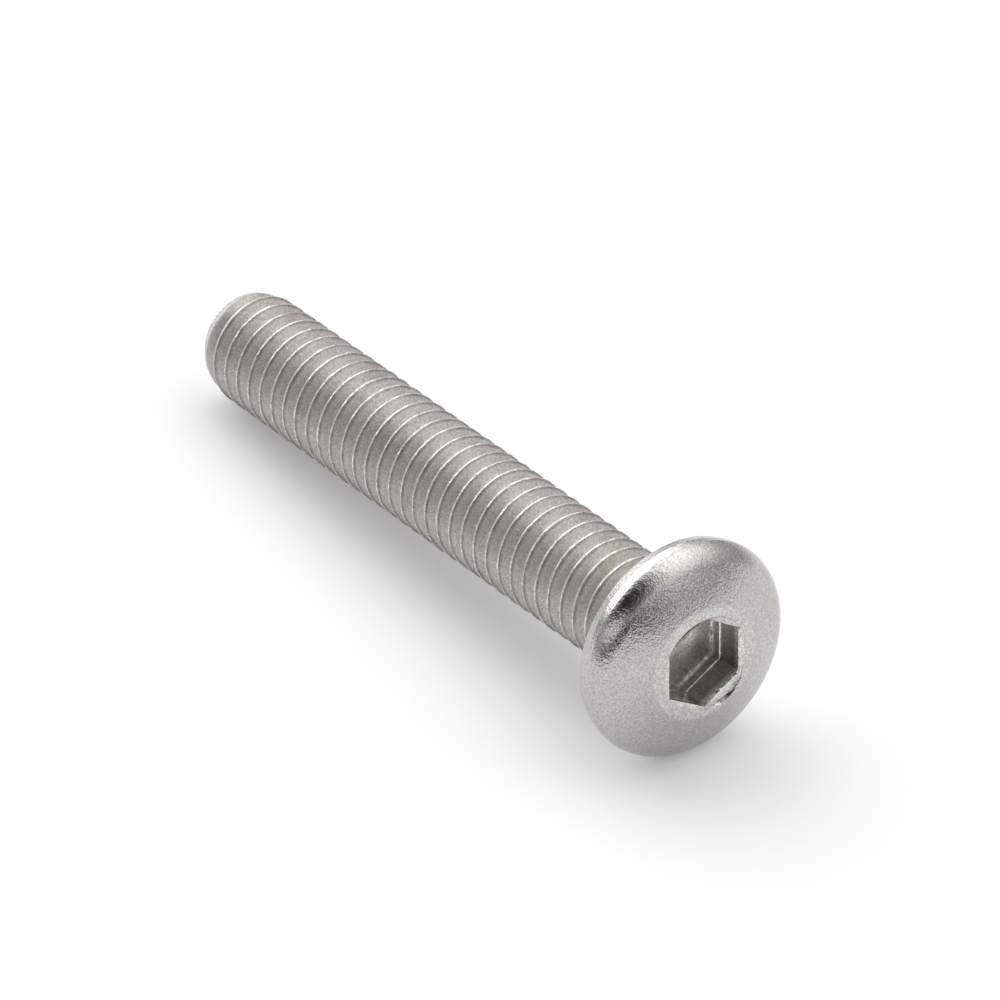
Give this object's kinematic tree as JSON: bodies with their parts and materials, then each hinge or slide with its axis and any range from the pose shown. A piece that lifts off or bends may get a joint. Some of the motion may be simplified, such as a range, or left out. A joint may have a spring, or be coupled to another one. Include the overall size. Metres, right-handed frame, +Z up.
{
  "type": "button head screw",
  "caption": "Metric machine screw with a low domed head, a hexagon socket and a fully threaded shank, lying as it comes to rest.",
  "frame": {"origin": "centre of the bounding box on the surface that the screw lies on", "axes": "+Z up from that surface, +X along the screw's length towards the head, +Y across it"},
  "size_m": [0.0194, 0.0056, 0.0056],
  "materials": {
    "stainless_steel": "satin tumbled stainless steel, brighter on worn edges"
  },
  "bodies": {
    "root": {"button_head_screw": "stainless_steel"}
  },
  "joints": []
}
